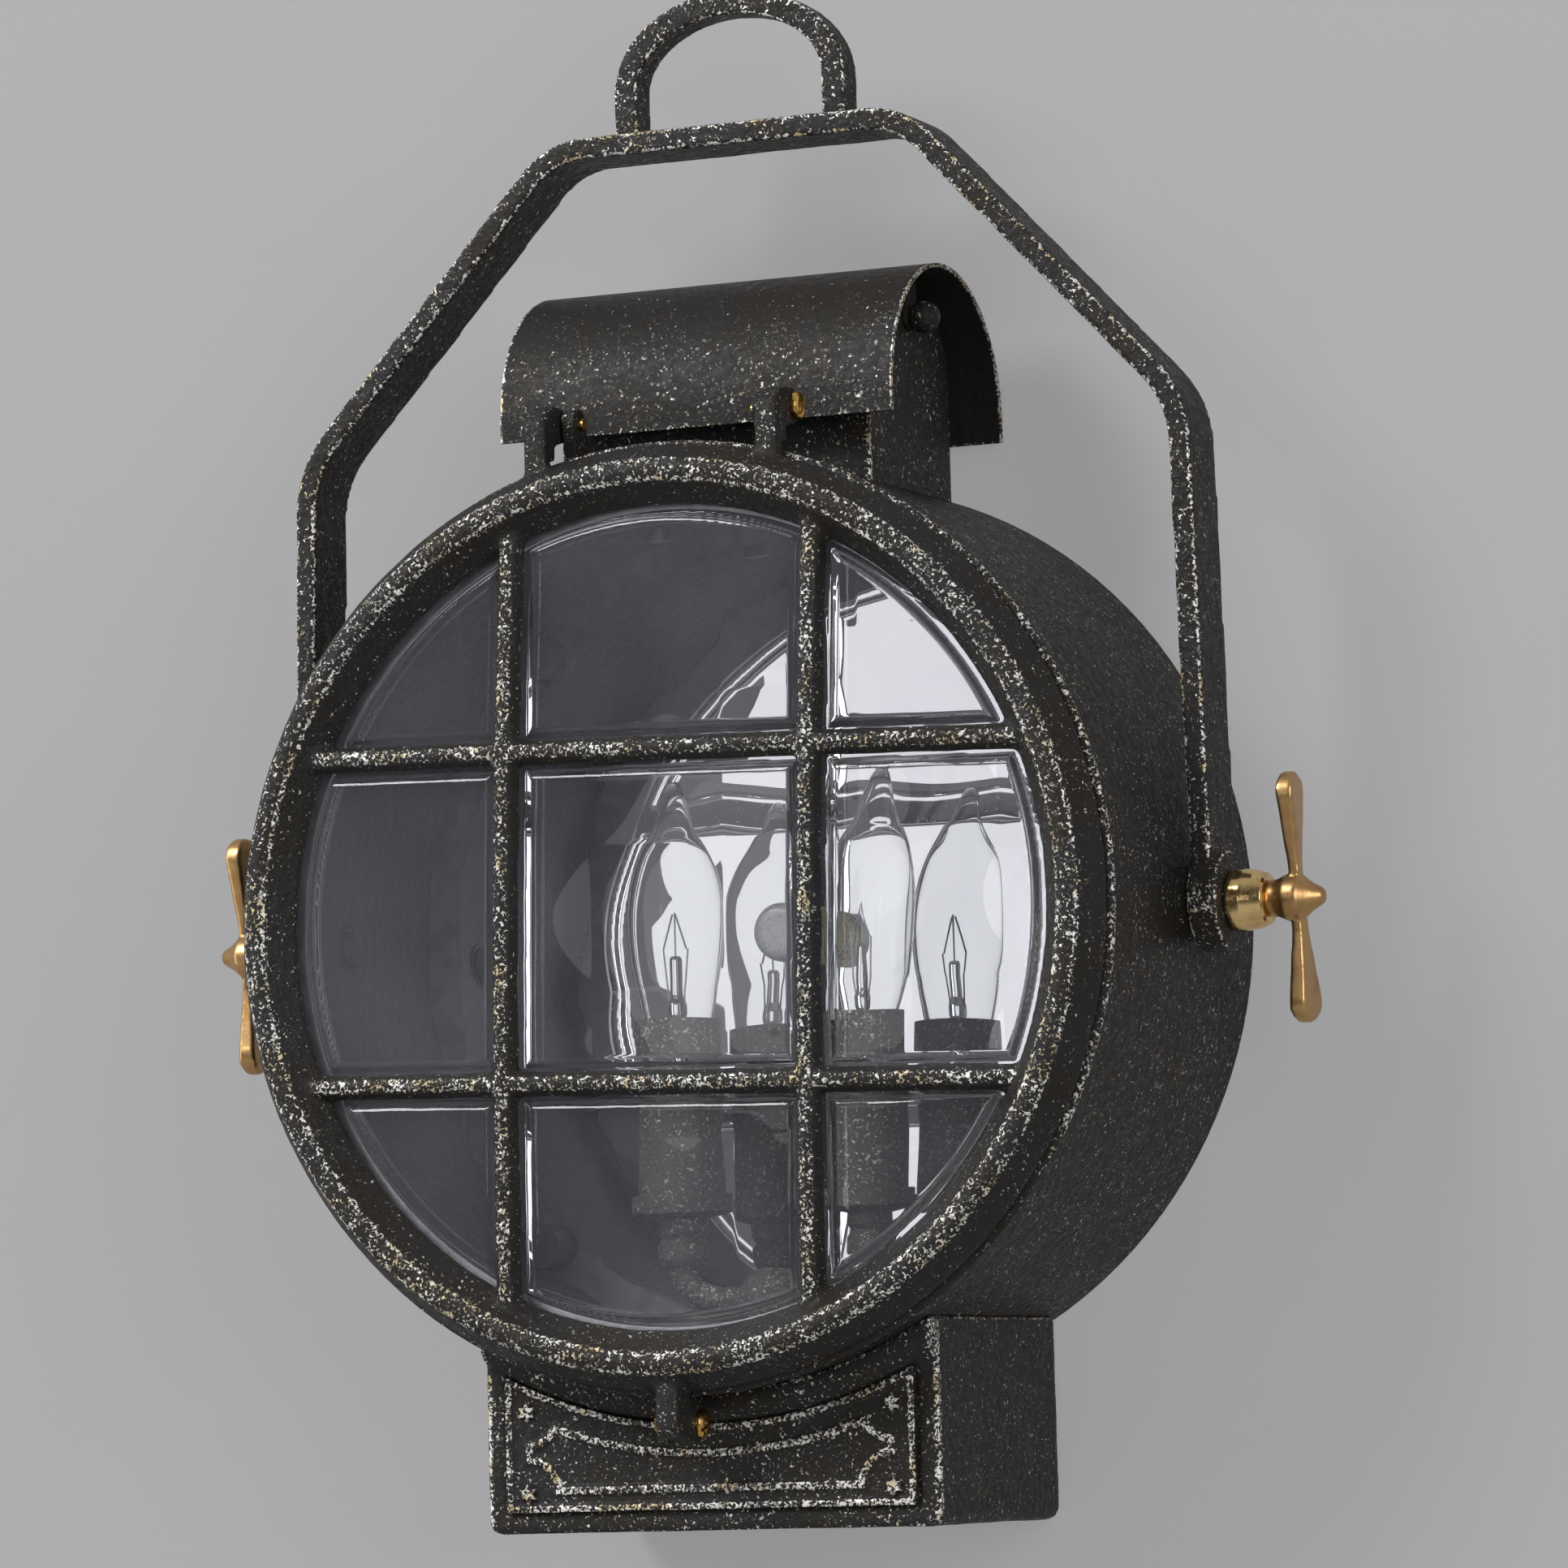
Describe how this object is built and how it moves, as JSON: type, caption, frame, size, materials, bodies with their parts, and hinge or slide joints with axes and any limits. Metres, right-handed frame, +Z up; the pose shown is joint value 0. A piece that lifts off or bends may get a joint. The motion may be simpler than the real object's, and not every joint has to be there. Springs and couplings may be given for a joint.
{
  "type": "wall lantern",
  "caption": "Round dark cast wall lantern with a caged glass door hinged at the top, a bail held by brass wing nuts, a vent hood, a base box and candle lamps before a mirror.",
  "frame": {"origin": "on the housing's round axis, in the plane of the wall", "axes": "-Y out of the wall towards the viewer, +Z up, +X to the viewer's right"},
  "size_m": [0.412, 0.149, 0.5285],
  "materials": {
    "dark_casting": "cast texture, dark, rubbed to pale metal on edges",
    "dark_sheet": "dark, rubbed to pale metal on edges",
    "dark_lamp_metal": "dark, finely textured",
    "steel": "zinc plated",
    "satin_brass": "satin, aged",
    "bright_brass": "polished",
    "grey_cap": "satin grey",
    "green_screw": "green plated",
    "silvered_glass": "silvered",
    "clear_glass": "clear, pressed",
    "bulb_glass": "clear, blown",
    "black_seal": "matte",
    "fibre": "vulcanised fibre",
    "socket_black": "matte",
    "tungsten": "drawn wire"
  },
  "bodies": {
    "housing": {"drum_shell": "dark_casting", "back_plate": "steel", "back_plate_screws": "steel", "crossbar": "steel", "center_nipple": "bright_brass", "nipple_lock_nut": "steel", "mirror_nut": "bright_brass", "cap_nut": "grey_cap", "ground_screw": "green_screw", "mirror_disc": "silvered_glass", "base_box": "dark_casting", "base_screws": "steel", "front_panel": "dark_casting", "panel_studs": "dark_casting", "vent_box": "dark_casting", "vent_screws": "steel", "hood": "dark_sheet", "hood_rod": "steel", "hood_ball_nuts": "dark_casting", "hinge_screws": "bright_brass", "door_gasket": "black_seal", "pivot_studs": "steel", "friction_washers": "fibre", "lamp_hub": "dark_lamp_metal", "hub_nut": "steel", "lamp_arms": "dark_lamp_metal", "candle_cups": "dark_lamp_metal", "candle_sleeves": "dark_lamp_metal", "lamp_sockets": "socket_black", "socket_shells": "bright_brass", "bulb_caps": "bright_brass", "bulb_glasses": "bulb_glass", "bulb_stems": "bulb_glass", "filament_supports": "steel", "filaments": "tungsten"},
    "door": {"door_frame": "dark_casting", "lens": "clear_glass", "lens_gasket": "black_seal", "retaining_ring": "steel", "retaining_screws": "steel", "latch_screw": "bright_brass", "latch_nut": "bright_brass"},
    "bail": {"bail": "dark_casting", "bail_loop": "dark_casting"},
    "wing_left": {"barrel_left": "satin_brass", "wing_nut_left": "satin_brass"},
    "wing_right": {"barrel_right": "satin_brass", "wing_nut_right": "satin_brass"}
  },
  "joints": [
    {"name": "door_hinge", "type": "hinge", "parent": "housing", "child": "door", "pos_m": [0, -0.1235, 0.169], "axis": [-1, 0, 0], "range_deg": [0, 100]},
    {"name": "bail_pivot", "type": "hinge", "parent": "housing", "child": "bail", "pos_m": [0, -0.062, 0], "axis": [1, 0, 0], "range_deg": [-9, 180]},
    {"name": "wing_nut_right_turn", "type": "hinge", "parent": "housing", "child": "wing_right", "pos_m": [0.195, -0.062, 0], "axis": [1, 0, 0], "continuous": true},
    {"name": "wing_nut_left_turn", "type": "hinge", "parent": "housing", "child": "wing_left", "pos_m": [-0.195, -0.062, 0], "axis": [-1, 0, 0], "continuous": true}
  ]
}
